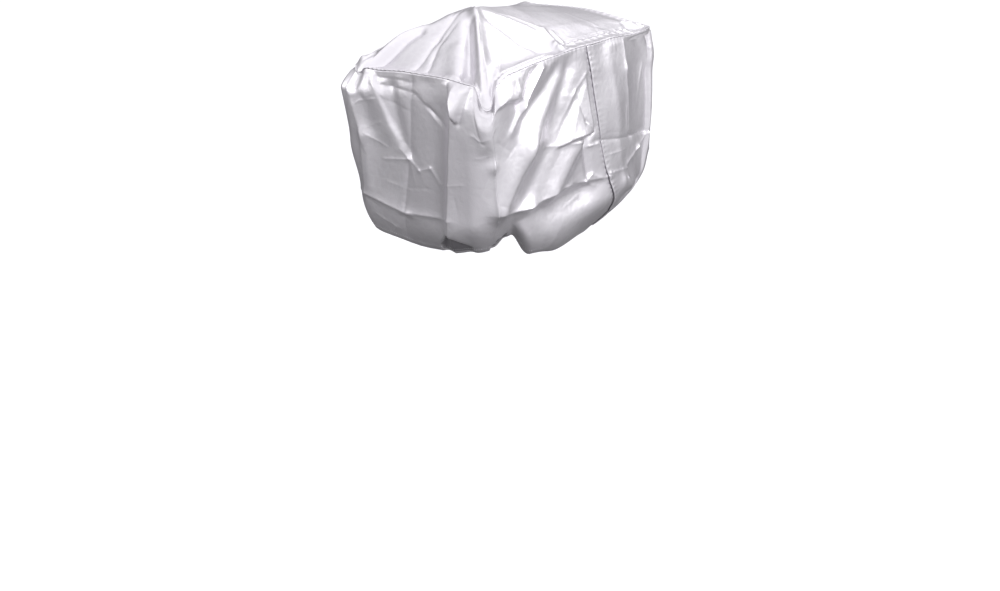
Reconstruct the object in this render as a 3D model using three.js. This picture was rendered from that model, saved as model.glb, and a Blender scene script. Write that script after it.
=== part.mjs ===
// A fitted outboard motor cover in coated cloth: a crowned top panel and one skirt strip wrapped round it.
// Millimetres, +Z up, +X towards the boat. The origin is where the cowling's crown holds the cloth up.
import * as THREE from 'three';

// Driving dimensions of the cut and sewn cover
const LENGTH = 450;
const WIDTH = 260;
const CROWN_RISE = 74;
const CROWN_FROM_AFT_EDGE = 135;
const CLOTH_THICKNESS = 1.5;
const HEM_THICKNESS = 3;
const HEM_BAND = 9;
const PIECE_GAP = 0.3;
const CLEARANCE_UNDER_CROWN = 1.5;
const SILVER_GREY = 0xb9b5bb;

// Grid of the cloth: cells along a long side, along a short side and down the skirt
const LONG_CELLS = 40;
const SHORT_CELLS = 24;
const SKIRT_CELLS = 24;

// Corner squareness of the plan at the seam and halfway down
const SQUARE_AT_SEAM = 24;
const SQUARE_HALFWAY = 11;

// The skirt's lapped closing seam: its cell on the near long side, how far it leans forward, how much more
// it does so at the hem, and how far off it the cloth runs straight again
const CLOSING_CELL = 22;
const CLOSING_LEAN = 62;
const HEM_LEAN = 48;
const LEAN_SPREAD = 150;

const halfLength = LENGTH / 2;
const halfWidth = WIDTH / 2;
const aftEdge = -CROWN_FROM_AFT_EDGE;
const middleX = aftEdge + halfLength;
const girth = 2 * (LENGTH + WIDTH);
const crownTop = CLEARANCE_UNDER_CROWN + CLOTH_THICKNESS;
const seamZ = crownTop - CROWN_RISE;
const seamLap = LENGTH / LONG_CELLS;
const closingSeam = CLOSING_CELL * seamLap;

// Sections round the cover. "at" is the distance round the seam from the near aft corner, forward first,
// and negative on the aft face. "rise" lifts the seam, "shoulder", "middle" and "belly" are how far the
// cloth stands out of the seam box on its way down, "tuck" how far the hem is drawn in, "drop" its depth
// and "square" how square its plan stays at the hem.
const SECTIONS = [
  { at: -260, rise: -9, shoulder: 14, middle: 15, belly: 5, tuck: 8, drop: 268, square: 10 },
  { at: -215, rise: -8, shoulder: 7, middle: 5, belly: 3, tuck: 12, drop: 272, square: 9 },
  { at: -150, rise: -2, shoulder: 3, middle: 2, belly: 1, tuck: 18, drop: 280, square: 6 },
  { at: -85, rise: 0, shoulder: 5, middle: 6, belly: 5, tuck: 18, drop: 276, square: 6 },
  { at: -35, rise: -3, shoulder: 6, middle: 4, belly: 2, tuck: 20, drop: 268, square: 6 },
  { at: 0, rise: -6, shoulder: 5, middle: 1, belly: -3, tuck: 22, drop: 266, square: 6 },
  { at: 48, rise: 9, shoulder: 4, middle: 4, belly: 1, tuck: 24, drop: 254, square: 6 },
  { at: 110, rise: 11, shoulder: 4, middle: 6, belly: 4, tuck: 20, drop: 298, square: 6 },
  { at: 200, rise: 11, shoulder: 3, middle: 6, belly: 5, tuck: 24, drop: 314, square: 5 },
  { at: 310, rise: 6, shoulder: 3, middle: 6, belly: 7, tuck: 28, drop: 312, square: 4.5 },
  { at: 400, rise: -2, shoulder: 3, middle: 7, belly: 8, tuck: 32, drop: 318, square: 4.2 },
  { at: 450, rise: -2, shoulder: 5, middle: 12, belly: 12, tuck: 34, drop: 316, square: 4.2 },
  { at: 580, rise: 9, shoulder: 6, middle: 9, belly: 4, tuck: 36, drop: 304, square: 4.5 },
  { at: 710, rise: 3, shoulder: 6, middle: 8, belly: 4, tuck: 30, drop: 300, square: 5 },
  { at: 830, rise: 9, shoulder: 4, middle: 6, belly: 3, tuck: 26, drop: 288, square: 5 },
  { at: 960, rise: 8, shoulder: 5, middle: 4, belly: 5, tuck: 22, drop: 276, square: 6 },
  { at: 1080, rise: 3, shoulder: 6, middle: 7, belly: 2, tuck: 20, drop: 282, square: 8 },
];

// Depth fractions at which a section's shoulder, middle and belly are given
const SHOULDER_AT = 0.14;
const MIDDLE_AT = 0.46;
const BELLY_AT = 0.78;

// Soft folds of the skirt, from one place to another: "u" is the distance round the seam, "d" the depth
// below it, "h" the height at each end, a ridge above zero and a hollow below it, "wide" and "back" the
// width of its slope on either side.
const SKIRT_ROLLS = [
  { name: 'slack from the aft ear', u1: -212, d1: 8, u2: -154, d2: 134, h1: 6, h2: 3, wide: 15, back: 24 },
  { name: 'hollow beside slack', u1: -182, d1: 18, u2: -158, d2: 108, h1: -6, h2: -3, wide: 14, back: 14 },
  { name: 'first tongue', u1: -58, d1: 4, u2: -62, d2: 52, h1: 12, h2: 9, wide: 15, back: 15 },
  { name: 'second tongue', u1: -13, d1: 2, u2: -2, d2: 28, h1: 9, h2: 8, wide: 14, back: 14 },
  { name: 'hollow between tongues', u1: -36, d1: 6, u2: -24, d2: 96, h1: -8, h2: -3, wide: 14, back: 14 },
  { name: 'crest of the aft face', u1: -77, d1: 78, u2: -79, d2: 240, h1: 7, h2: 7, wide: 16, back: 48 },
  { name: 'dent under the corner', u1: 4, d1: 16, u2: 62, d2: 30, h1: -5, h2: -4, wide: 14, back: 14 },
  { name: 'slanting hollow', u1: 110, d1: 4, u2: 42, d2: 56, h1: -8, h2: -5, wide: 18, back: 18 },
  { name: 'its bright edge', u1: 118, d1: 14, u2: 56, d2: 74, h1: 6, h2: 4, wide: 18, back: 18 },
  { name: 'first long roll', u1: 124, d1: 66, u2: 18, d2: 186, h1: 7, h2: 10, wide: 26, back: 22 },
  { name: 'hollow after that roll', u1: 142, d1: 96, u2: 74, d2: 184, h1: -7, h2: -6, wide: 20, back: 20 },
  { name: 'kite over the second roll', u1: 240, d1: 34, u2: 184, d2: 112, h1: 6, h2: 9, wide: 20, back: 20 },
  { name: 'hollow before the kite', u1: 196, d1: 22, u2: 150, d2: 84, h1: -5, h2: -5, wide: 20, back: 20 },
  { name: 'second long roll', u1: 218, d1: 116, u2: 138, d2: 196, h1: 8, h2: 8, wide: 24, back: 20 },
  { name: 'hollow by closing seam', u1: 246, d1: 126, u2: 232, d2: 196, h1: -7, h2: -5, wide: 14, back: 14 },
  { name: 'hollow under lower edge', u1: 46, d1: 222, u2: 214, d2: 230, h1: -8, h2: -6, wide: 16, back: 16 },
  { name: 'low roll, near side', u1: 110, d1: 262, u2: 290, d2: 242, h1: 6, h2: 6, wide: 18, back: 18 },
  { name: 'forward low bulge', u1: 352, d1: 236, u2: 396, d2: 246, h1: 6, h2: 6, wide: 18, back: 18 },
  { name: 'forward low hollow', u1: 362, d1: 268, u2: 424, d2: 268, h1: -9, h2: -8, wide: 14, back: 14 },
  { name: 'hem curl, aft', u1: -70, d1: 246, u2: -26, d2: 240, h1: -15, h2: -12, wide: 14, back: 14 },
  { name: 'hem curl, near corner', u1: 2, d1: 236, u2: 34, d2: 232, h1: -12, h2: -10, wide: 14, back: 14 },
  { name: 'front face slack', u1: 500, d1: 30, u2: 566, d2: 210, h1: 7, h2: 6, wide: 26, back: 22 },
  { name: 'front face hollow', u1: 560, d1: 16, u2: 604, d2: 190, h1: -8, h2: -5, wide: 20, back: 20 },
  { name: 'front face second slack', u1: 668, d1: 20, u2: 622, d2: 220, h1: 8, h2: 6, wide: 22, back: 26 },
  { name: 'far side first roll', u1: 742, d1: 24, u2: 812, d2: 226, h1: 8, h2: 7, wide: 26, back: 24 },
  { name: 'far side hollow', u1: 800, d1: 20, u2: 856, d2: 180, h1: -8, h2: -5, wide: 22, back: 22 },
  { name: 'far side second roll', u1: 994, d1: 16, u2: 930, d2: 176, h1: 7, h2: 8, wide: 24, back: 26 },
  { name: 'far side third roll', u1: 1090, d1: 26, u2: 1026, d2: 222, h1: 7, h2: 7, wide: 26, back: 22 },
  { name: 'far side second hollow', u1: 1042, d1: 14, u2: 1000, d2: 150, h1: -7, h2: -5, wide: 20, back: 20 },
  { name: 'slack behind aft ear', u1: 1148, d1: 16, u2: 1104, d2: 168, h1: 8, h2: 5, wide: 20, back: 24 },
];

// Edges pressed into the skirt while it lay folded, in the same columns but sharp along their middle
const SKIRT_PRESSED_EDGES = [
  { name: 'near corner edge', u1: -3, d1: 22, u2: 9, d2: 200, h1: 7, h2: 6, wide: 15, back: 15 },
  { name: 'aft face edge', u1: -140, d1: 10, u2: -158, d2: 258, h1: 2, h2: 3.5, wide: 16, back: 16 },
  { name: 'far aft corner edge', u1: -249, d1: 62, u2: -244, d2: 208, h1: 4, h2: 4, wide: 14, back: 14 },
  { name: 'near side lower edge', u1: 8, d1: 199, u2: 240, d2: 211, h1: 5, h2: 4, wide: 14, back: 14 },
  { name: 'aft face lower edge', u1: -238, d1: 208, u2: -78, d2: 217, h1: 3.5, h2: 3, wide: 14, back: 14 },
  { name: 'near side upper edge', u1: 150, d1: 120, u2: 456, d2: 176, h1: 2, h2: 4, wide: 14, back: 14 },
  { name: 'near side forward edge', u1: 344, d1: 6, u2: 372, d2: 150, h1: 3, h2: 3, wide: 14, back: 16 },
  { name: 'slant to front corner', u1: 452, d1: 182, u2: 376, d2: 212, h1: 4, h2: 4, wide: 14, back: 14 },
  { name: 'near front corner edge', u1: 453, d1: 14, u2: 446, d2: 200, h1: 5, h2: 4, wide: 15, back: 15 },
  { name: 'front face low edge', u1: 470, d1: 214, u2: 700, d2: 220, h1: 3, h2: 4, wide: 16, back: 16 },
  { name: 'far front corner edge', u1: 708, d1: 18, u2: 714, d2: 206, h1: 6, h2: 5, wide: 16, back: 16 },
  { name: 'far side middle edge', u1: 884, d1: 8, u2: 890, d2: 240, h1: 4, h2: 4, wide: 18, back: 18 },
  { name: 'far side low edge', u1: 730, d1: 210, u2: 1120, d2: 205, h1: 3, h2: 4, wide: 16, back: 16 },
];

// The line over the crown where the aft half turns down to the forward half: how far forward it runs
const CROWN_LINE = [
  { side: 0, forward: 0 },
  { side: 33, forward: 31 },
  { side: 60, forward: 51 },
  { side: 88, forward: 64 },
  { side: 110, forward: 62 },
  { side: 130, forward: 38 },
];

// Lift of that line at its foot, of the near and far slopes at theirs, and of the front edge's middle; how
// much the slopes tilt forward, and how round the crown is
const CROWN_LINE_FOOT = 9;
const SLOPE_FOOT = 6;
const FRONT_EDGE_CAMBER = 13;
const SLOPE_TILT = 0.1;
const CROWN_ROUNDING = 5;

// How far in from the seam the top panel's folds start and its crown takes over from the seam's rise, how
// far below the seam the skirt's folds start, and how fast a pressed edge falls off to its sides
const FOLDS_START_IN_FROM_SEAM = 14;
const CROWN_STARTS_IN_FROM_SEAM = 60;
const FOLDS_START_BELOW_SEAM = 10;
const PRESSED_EDGE_FALL = 1.4;

// Soft folds of the top panel in the same columns, with "u" forward and "d" sideways from the crown
const TOP_ROLLS = [
  { name: 'pipe to the near corner', u1: -4, d1: -6, u2: -122, d2: -106, h1: 4, h2: 9, wide: 17, back: 17 },
  { name: 'hollow aft of pipe', u1: -44, d1: -26, u2: -124, d2: -88, h1: -5, h2: -7, wide: 17, back: 17 },
  { name: 'roll to first tongue', u1: -84, d1: -26, u2: -130, d2: -66, h1: 3, h2: 8, wide: 15, back: 15 },
  { name: 'pipe to far aft corner', u1: -72, d1: 56, u2: -122, d2: 108, h1: 6, h2: 10, wide: 16, back: 16 },
  { name: 'hollow beside that pipe', u1: -74, d1: 40, u2: -128, d2: 82, h1: -5, h2: -6, wide: 16, back: 16 },
  { name: 'hollow of near slope', u1: -8, d1: -38, u2: 18, d2: -112, h1: -3, h2: -6, wide: 15, back: 14 },
  { name: 'groove by near seam', u1: -104, d1: -119, u2: -24, d2: -117, h1: -5, h2: -4, wide: 14, back: 14 },
  { name: 'tuck at crown line foot', u1: 58, d1: -110, u2: 46, d2: -124, h1: 6, h2: 5, wide: 14, back: 14 },
  { name: 'front ear hollow', u1: 264, d1: -106, u2: 298, d2: -118, h1: -7, h2: -5, wide: 14, back: 14 },
  { name: 'front ear', u1: 292, d1: -98, u2: 306, d2: -124, h1: 4, h2: 6, wide: 14, back: 14 },
  { name: 'far slope hollow', u1: 6, d1: 40, u2: 20, d2: 112, h1: -3, h2: -6, wide: 16, back: 16 },
  { name: 'pipe to far front corner', u1: 190, d1: 74, u2: 300, d2: 118, h1: 3, h2: 7, wide: 16, back: 16 },
];

// Edges pressed into the top panel, in the same columns
const TOP_PRESSED_EDGES = [
  { name: 'first aft crease', u1: -14, d1: 10, u2: -130, d2: 16, h1: 2, h2: 3, wide: 14, back: 14 },
  { name: 'second aft crease', u1: -70, d1: -4, u2: -128, d2: -12, h1: 2, h2: 3, wide: 14, back: 14 },
];

const clamp01 = (value) => Math.min(1, Math.max(0, value));
const ease = (value) => clamp01(value) ** 2 * (3 - 2 * clamp01(value));
const mix = (a, b, share) => a + (b - a) * share;

// Value of a section's column at any distance round the cover, eased between its rows
function around(column, u) {
  const place = ((u + WIDTH) % girth + girth) % girth - WIDTH;
  let last = SECTIONS.findIndex((row) => row.at > place);
  if (last < 0) last = SECTIONS.length;
  const from = SECTIONS[last - 1];
  const to = last < SECTIONS.length ? SECTIONS[last] : SECTIONS[0];
  const end = last < SECTIONS.length ? to.at : to.at + girth;
  return mix(from[column], to[column], ease((place - from.at) / (end - from.at)));
}

// Value of a table's column at a place along another column, eased between rows
function along(rows, key, column, place) {
  const next = rows.findIndex((row) => row[key] > place);
  if (next < 0) return rows[rows.length - 1][column];
  if (next === 0) return rows[0][column];
  const from = rows[next - 1];
  const to = rows[next];
  return mix(from[column], to[column], (place - from[key]) / (to[key] - from[key]));
}

// Height of one fold at a place on the cloth, round or sharp along its middle
function foldHeight(fold, sharp, u, d) {
  const du = fold.u2 - fold.u1;
  const dd = fold.d2 - fold.d1;
  const reach = Math.hypot(du, dd);
  const onLine = ((u - fold.u1) * du + (d - fold.d1) * dd) / reach;
  const offLine = ((u - fold.u1) * dd - (d - fold.d1) * du) / reach;
  const past = Math.max(0, -onLine, onLine - reach);
  const wide = offLine > 0 ? fold.wide : fold.back;
  const slope = Math.abs(offLine) / wide;
  const section = sharp ? Math.exp(-PRESSED_EDGE_FALL * slope) : Math.exp(-slope * slope);
  const fade = Math.exp(-((past / wide) ** 2));
  return mix(fold.h1, fold.h2, clamp01(onLine / reach)) * section * fade;
}

// Height of all the folds of a piece at a place on it
function foldsHeight(rolls, edges, u, d) {
  let height = 0;
  for (const fold of rolls) height += foldHeight(fold, false, u, d);
  for (const fold of edges) height += foldHeight(fold, true, u, d);
  return height;
}

// Point of the sharp seam box at a distance round it
function seamBox(u) {
  const place = ((u % girth) + girth) % girth;
  if (place < LENGTH) return { x: aftEdge + place, y: -halfWidth };
  if (place < LENGTH + WIDTH) return { x: aftEdge + LENGTH, y: place - LENGTH - halfWidth };
  if (place < 2 * LENGTH + WIDTH) return { x: aftEdge + 2 * LENGTH + WIDTH - place, y: halfWidth };
  return { x: aftEdge, y: girth - halfWidth - place };
}

// A box with rounded corners: squarer for a larger exponent; gives the point and the way outwards
function roundedBox(x, y, standOut, square) {
  const dx = x - middleX;
  const dy = y;
  const length = halfLength + standOut;
  const width = halfWidth + standOut;
  const measure = (Math.abs(dx / length) ** square + Math.abs(dy / width) ** square) ** (1 / square);
  const out = new THREE.Vector2(
    Math.sign(dx) * Math.abs(dx / length / measure) ** (square - 1) / length,
    Math.sign(dy) * Math.abs(dy / width / measure) ** (square - 1) / width,
  ).normalize();
  return { x: middleX + dx / measure, y: dy / measure, out };
}

const foldPlace = (u) => (u > girth - WIDTH + 1 ? u - girth : u);

// Outer face of the skirt at a distance round the seam and a fraction of the way down
function skirtPoint(u, fraction, extra) {
  const drop = around('drop', u);
  const standOuts = [0, around('shoulder', u), around('middle', u), around('belly', u), -around('tuck', u)];
  const stations = [0, SHOULDER_AT, MIDDLE_AT, BELLY_AT, 1];
  let k = 0;
  while (k < 3 && fraction > stations[k + 1]) k += 1;
  const share = clamp01((fraction - stations[k]) / (stations[k + 1] - stations[k]));
  const bend = k === 3 ? share * share : ease(share);
  const standOut = mix(standOuts[k], standOuts[k + 1], bend);
  const square = fraction < MIDDLE_AT
    ? mix(SQUARE_AT_SEAM, SQUARE_HALFWAY, ease(fraction / MIDDLE_AT))
    : mix(SQUARE_HALFWAY, around('square', u), ease((fraction - MIDDLE_AT) / (1 - MIDDLE_AT)));
  const box = seamBox(u);
  const base = roundedBox(box.x, box.y, standOut, square);
  const depth = fraction * drop;
  const place = foldPlace(((u % girth) + girth) % girth);
  const height = foldsHeight(SKIRT_ROLLS, SKIRT_PRESSED_EDGES, place, depth);
  const out = height * ease(depth / FOLDS_START_BELOW_SEAM) + extra;
  const z = seamZ + around('rise', u) * (1 - ease(fraction / MIDDLE_AT)) - depth;
  return new THREE.Vector3(base.x + base.out.x * out, base.y + base.out.y * out, z);
}

// Crown height over the seam plane at a place of the seam box's plan
function crownLift(x, y) {
  const side = Math.abs(y);
  const outward = side / halfWidth;
  const lineX = along(CROWN_LINE, 'side', 'forward', side);
  const lineLift = mix(CROWN_RISE, CROWN_LINE_FOOT, outward);
  if (x > lineX) {
    const share = (x - lineX) / (aftEdge + LENGTH - lineX);
    return mix(lineLift, FRONT_EDGE_CAMBER * (1 - outward ** 2), share);
  }
  const aftLift = (CROWN_RISE * (x - aftEdge)) / CROWN_FROM_AFT_EDGE;
  const sideLift = mix(CROWN_RISE + SLOPE_TILT * x, SLOPE_FOOT, outward);
  const gap = aftLift - sideLift;
  return (aftLift + sideLift - Math.hypot(gap, CROWN_ROUNDING)) / 2;
}

// Rise of the seam beside a place of the plan, weighed between the nearest side and the nearest end
function seamRiseBy(x, y) {
  const least = 0.01;
  const toSide = (halfWidth - Math.abs(y)) ** 2 + least;
  const toEnd = (halfLength - Math.abs(x - middleX)) ** 2 + least;
  const bySide = around('rise', seamDistance(x, Math.sign(y || 1) * halfWidth));
  const byEnd = around('rise', seamDistance(x < middleX ? aftEdge : aftEdge + LENGTH, y));
  return (bySide * toEnd + byEnd * toSide) / (toEnd + toSide);
}

// Outer face of the top panel over a place of the seam box's plan
function topPoint(x, y) {
  const ring = Math.max(Math.abs(x - middleX) / halfLength, Math.abs(y) / halfWidth);
  const plan = new THREE.Vector2(x, y);
  if (ring > 0) {
    const edge = roundedBox(x, y, 0, SQUARE_AT_SEAM);
    plan.lerp(new THREE.Vector2(mix(middleX, edge.x, ring), edge.y * ring), ring ** 5);
  }
  const inside = Math.min(halfLength - Math.abs(x - middleX), halfWidth - Math.abs(y));
  const height = foldsHeight(TOP_ROLLS, TOP_PRESSED_EDGES, x, y) * ease(inside / FOLDS_START_IN_FROM_SEAM);
  const seamRise = seamRiseBy(x, y);
  const lift = mix(seamRise, crownLift(x, y), ease(inside / CROWN_STARTS_IN_FROM_SEAM));
  return new THREE.Vector3(plan.x, plan.y, seamZ + Math.max(lift + height, seamRise));
}

// Distance round the seam box of a point on it
function seamDistance(x, y) {
  const tiny = 0.001;
  if (y < -halfWidth + tiny) return x - aftEdge;
  if (x > aftEdge + LENGTH - tiny) return LENGTH + y + halfWidth;
  if (y > halfWidth - tiny) return LENGTH + WIDTH + (aftEdge + LENGTH - x);
  return girth - halfWidth - y;
}

// How sharply the cloth bends across a cell along one of its two diagonals
function bendAcross(grid, i, j, step) {
  const point = (k) => {
    const column = Math.min(grid.length - 1, Math.max(0, i + k));
    const row = step > 0 ? j + k : j + 1 - k;
    return grid[column][Math.min(grid[0].length - 1, Math.max(0, row))];
  };
  return new THREE.Vector3().add(point(-1)).sub(point(0)).sub(point(1)).add(point(2)).length();
}

// Closed wall between an outer and an inner grid of points, each cell split along its straighter diagonal
function clothSolid(outer, inner) {
  const columns = outer.length;
  const rows = outer[0].length;
  const points = [];
  for (const grid of [outer, inner]) {
    for (const column of grid) for (const point of column) points.push(point.x, point.y, point.z);
  }
  const index = (side, i, j) => side * columns * rows + i * rows + j;
  const faces = [];
  const quad = (a, b, c, d) => faces.push(a, b, c, a, c, d);
  for (let i = 0; i < columns - 1; i += 1) {
    for (let j = 0; j < rows - 1; j += 1) {
      const cell = [[i, j], [i, j + 1], [i + 1, j + 1], [i + 1, j]];
      if (bendAcross(outer, i, j, 1) > bendAcross(outer, i, j, -1)) cell.push(cell.shift());
      const [a, b, c, d] = cell;
      quad(index(0, ...a), index(0, ...b), index(0, ...c), index(0, ...d));
      quad(index(1, ...a), index(1, ...d), index(1, ...c), index(1, ...b));
    }
    quad(index(0, i, 0), index(0, i + 1, 0), index(1, i + 1, 0), index(1, i, 0));
    const last = rows - 1;
    quad(index(0, i, last), index(1, i, last), index(1, i + 1, last), index(0, i + 1, last));
  }
  for (let j = 0; j < rows - 1; j += 1) {
    const last = columns - 1;
    quad(index(0, 0, j), index(1, 0, j), index(1, 0, j + 1), index(0, 0, j + 1));
    quad(index(0, last, j), index(0, last, j + 1), index(1, last, j + 1), index(1, last, j));
  }
  const geometry = new THREE.BufferGeometry();
  geometry.setAttribute('position', new THREE.Float32BufferAttribute(points, 3));
  geometry.setIndex(faces);
  geometry.computeVertexNormals();
  return geometry;
}

// Distances round the seam where the skirt's grid has its lines: every cell on the sides with the most
// folds, every second one on the others, from the closing seam's outer end to the end lapped under it
function skirtPlaces() {
  const long = LENGTH / LONG_CELLS;
  const short = WIDTH / SHORT_CELLS;
  const places = [];
  for (let k = CLOSING_CELL; k < LONG_CELLS; k += 1) places.push(k * long);
  for (let k = 0; k < SHORT_CELLS; k += 2) places.push(LENGTH + k * short);
  for (let k = 0; k < LONG_CELLS; k += 2) places.push(LENGTH + WIDTH + k * long);
  for (let k = 0; k < SHORT_CELLS; k += 1) places.push(2 * LENGTH + WIDTH + k * short);
  for (let k = 0; k <= CLOSING_CELL + 1; k += 1) places.push(girth + k * long);
  return places;
}

// The skirt: one strip wrapped round the cover, its ends lapped at the closing seam
function makeSkirt() {
  const band = HEM_BAND / SECTIONS[0].drop;
  const small = 0.004;
  const at = (place, fraction) => {
    const fromStart = place - closingSeam;
    const off = Math.min(fromStart, Math.abs(fromStart - girth));
    const lean = (CLOSING_LEAN * fraction + HEM_LEAN * fraction ** 5) * (1 - ease(off / LEAN_SPREAD));
    const lapped = 1 - ease(fromStart / seamLap - 1);
    return skirtPoint(place + lean, fraction, lapped * (CLOTH_THICKNESS + PIECE_GAP));
  };
  const outer = [];
  const inner = [];
  for (const place of skirtPlaces()) {
    const outerColumn = [];
    const innerColumn = [];
    for (let j = 0; j <= SKIRT_CELLS + 1; j += 1) {
      const fraction = j <= SKIRT_CELLS ? (j / SKIRT_CELLS) * (1 - band) : 1;
      const point = at(place, fraction);
      const across = at(place + 1, fraction).sub(at(place - 1, fraction));
      const down = at(place, Math.min(1, fraction + small)).sub(at(place, Math.max(0, fraction - small)));
      const normal = down.cross(across).normalize();
      normal.z *= ease(fraction * 12);
      normal.normalize();
      const wall = j <= SKIRT_CELLS ? CLOTH_THICKNESS : HEM_THICKNESS;
      if (j === 0) point.z -= CLOTH_THICKNESS + 2 * PIECE_GAP;
      outerColumn.push(point);
      innerColumn.push(point.clone().addScaledVector(normal, -wall));
    }
    outer.push(outerColumn);
    inner.push(innerColumn);
  }
  return clothSolid(outer, inner);
}

// The top panel: a sheet from the crown to the seam, its edge resting over the skirt's upper edge
function makeTopPanel() {
  const outer = [];
  const inner = [];
  for (let i = 0; i <= LONG_CELLS; i += 1) {
    const outerColumn = [];
    const innerColumn = [];
    for (let j = 0; j <= SHORT_CELLS; j += 1) {
      const x = aftEdge + (LENGTH * i) / LONG_CELLS;
      const point = topPoint(x, halfWidth - (WIDTH * j) / SHORT_CELLS);
      outerColumn.push(point);
      innerColumn.push(point.clone().setZ(point.z - CLOTH_THICKNESS));
    }
    outer.push(outerColumn);
    inner.push(innerColumn);
  }
  return clothSolid(outer, inner);
}

const silverCloth = () => new THREE.MeshStandardMaterial({
  color: SILVER_GREY,
  roughness: 0.4,
  metalness: 0.35,
});

const cover = new THREE.Group();
const topPanel = new THREE.Mesh(makeTopPanel(), silverCloth());
topPanel.name = 'top_panel';
const skirt = new THREE.Mesh(makeSkirt(), silverCloth());
skirt.name = 'skirt';
cover.add(topPanel, skirt);

export default cover;
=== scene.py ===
# %% [markdown]
# # A silver cover for an outboard motor
# A loose cover of silver-coated polyester hangs over a small motor's cowling. A maker cuts two pieces: a
# top panel and one long skirt strip, which goes once round and is closed by a lapped seam. Nothing fills
# the cloth, so all that the eye reads is folds: soft rolls where there is too much cloth, sharp edges
# pressed in while the cover lay packed, puckers along each line of stitches, and a rolled hem.

# %% Load the fixed frame
import math
import random
from collections import namedtuple

import bmesh
import bpy
import numpy as np
from mathutils import Matrix, Vector, noise


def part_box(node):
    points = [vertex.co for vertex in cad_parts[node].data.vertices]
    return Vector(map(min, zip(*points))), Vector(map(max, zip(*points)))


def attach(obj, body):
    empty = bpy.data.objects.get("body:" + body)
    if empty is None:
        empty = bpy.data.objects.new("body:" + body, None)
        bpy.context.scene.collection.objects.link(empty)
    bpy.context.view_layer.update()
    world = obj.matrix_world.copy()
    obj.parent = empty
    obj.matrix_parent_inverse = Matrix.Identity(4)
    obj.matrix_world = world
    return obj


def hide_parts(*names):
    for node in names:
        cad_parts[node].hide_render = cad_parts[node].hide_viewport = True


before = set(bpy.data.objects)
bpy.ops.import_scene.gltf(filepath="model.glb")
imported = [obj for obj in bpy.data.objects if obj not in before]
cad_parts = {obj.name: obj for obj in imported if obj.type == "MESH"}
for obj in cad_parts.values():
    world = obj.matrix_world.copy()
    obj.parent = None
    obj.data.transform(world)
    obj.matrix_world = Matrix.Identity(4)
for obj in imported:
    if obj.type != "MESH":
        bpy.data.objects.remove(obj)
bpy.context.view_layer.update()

# %% [markdown]
# ## The camera
# The picture was taken from behind the near aft corner, a little above the cover. The camera comes first,
# so that each later piece can be looked at from there. Its place was found from the corners of the seam,
# and its focal length is given as pixels of a picture 1000 pixels wide, which makes it easy to check.

# %% Camera
CAMERA_PLACE = Vector((-1.7604, -1.3278, 0.509))
CAMERA_AZIMUTH = math.radians(-54)
CAMERA_DOWN = math.radians(24)
FOCAL_PIXELS = 1480
PICTURE_PIXELS = 1000
SENSOR_MM = 36


def camera_turn(azimuth, down):
    """Turn of a camera that looks along the azimuth, tipped down, and stands upright."""
    back = Vector((math.sin(azimuth) * math.cos(down), -math.cos(azimuth) * math.cos(down), math.sin(down)))
    right = Vector((math.cos(azimuth), math.sin(azimuth), 0))
    return Matrix((right, back.cross(right), back)).transposed().to_4x4()


lens = bpy.data.cameras.new("camera")
lens.sensor_width = SENSOR_MM
lens.lens = FOCAL_PIXELS * SENSOR_MM / PICTURE_PIXELS
camera = bpy.data.objects.new("camera", lens)
camera.matrix_world = Matrix.Translation(CAMERA_PLACE) @ camera_turn(CAMERA_AZIMUTH, CAMERA_DOWN)
bpy.context.scene.collection.objects.link(camera)
bpy.context.scene.camera = camera
print("lens", round(lens.lens, 2), "mm")

# %% [markdown]
# ## Measures of the cut cover
# The cover's length and width come from the frame, and everything else on the cloth is given in
# millimetres. Two numbers place a point of the skirt: how far it lies round the seam from the near aft
# corner, forward first, and how deep it lies below the seam. A point of the top panel is placed by how
# far forward and how far sideways of the crown it lies.

# %% Measures
MM = 0.001
panel_low, panel_high = (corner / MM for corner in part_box("top_panel"))
length = panel_high.x - panel_low.x
width = panel_high.y - panel_low.y
aft_edge = panel_low.x
front_edge = panel_high.x
middle_x = (aft_edge + front_edge) / 2
half_length, half_width = length / 2, width / 2
girth = 2 * (length + width)
CROWN_RISE = 74
SEAM_Z = -71
print("girth round the seam", round(girth), "mm")

# %% [markdown]
# ## Sections round the skirt
# A row gives the cloth at one place round the seam: how much the seam rises there, how far the cloth
# stands out of the seam's box on its way down, how far the hem is drawn in, how deep it hangs and how
# square the plan stays at the hem. Values between the rows are eased, so the skirt changes without kinks.

# %% Sections of the skirt
Section = namedtuple("Section", "at rise shoulder middle belly tuck drop square")
SECTIONS = [
    Section(-260, -9, 14, 15, 5, 8, 268, 10),
    Section(-215, -8, 7, 5, 3, 12, 272, 9),
    Section(-150, -2, 3, 2, 1, 18, 280, 6),
    Section(-85, 0, 5, 6, 5, 18, 276, 6),
    Section(-35, -3, 6, 4, 2, 20, 268, 6),
    Section(0, -6, 5, 1, -3, 22, 266, 6),
    Section(48, 9, 4, 4, 1, 24, 254, 6),
    Section(110, 11, 4, 6, 4, 20, 298, 6),
    Section(200, 11, 3, 6, 5, 24, 314, 5),
    Section(310, 6, 3, 6, 7, 28, 312, 4.5),
    Section(400, -2, 3, 7, 8, 32, 318, 4.2),
    Section(450, -2, 5, 12, 12, 34, 316, 4.2),
    Section(580, 9, 6, 9, 4, 36, 304, 4.5),
    Section(710, 3, 6, 8, 4, 30, 300, 5),
    Section(830, 9, 4, 6, 3, 26, 288, 5),
    Section(960, 8, 5, 4, 5, 22, 276, 6),
    Section(1080, 3, 6, 7, 2, 20, 282, 8),
]
STATIONS = (0, 0.14, 0.46, 0.78, 1)
SQUARE_AT_SEAM, SQUARE_HALFWAY = 24, 11


def mixed(a, b, share):
    return a + (b - a) * share


def eased(share):
    share = np.clip(share, 0, 1)
    return share * share * (3 - 2 * share)


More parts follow.
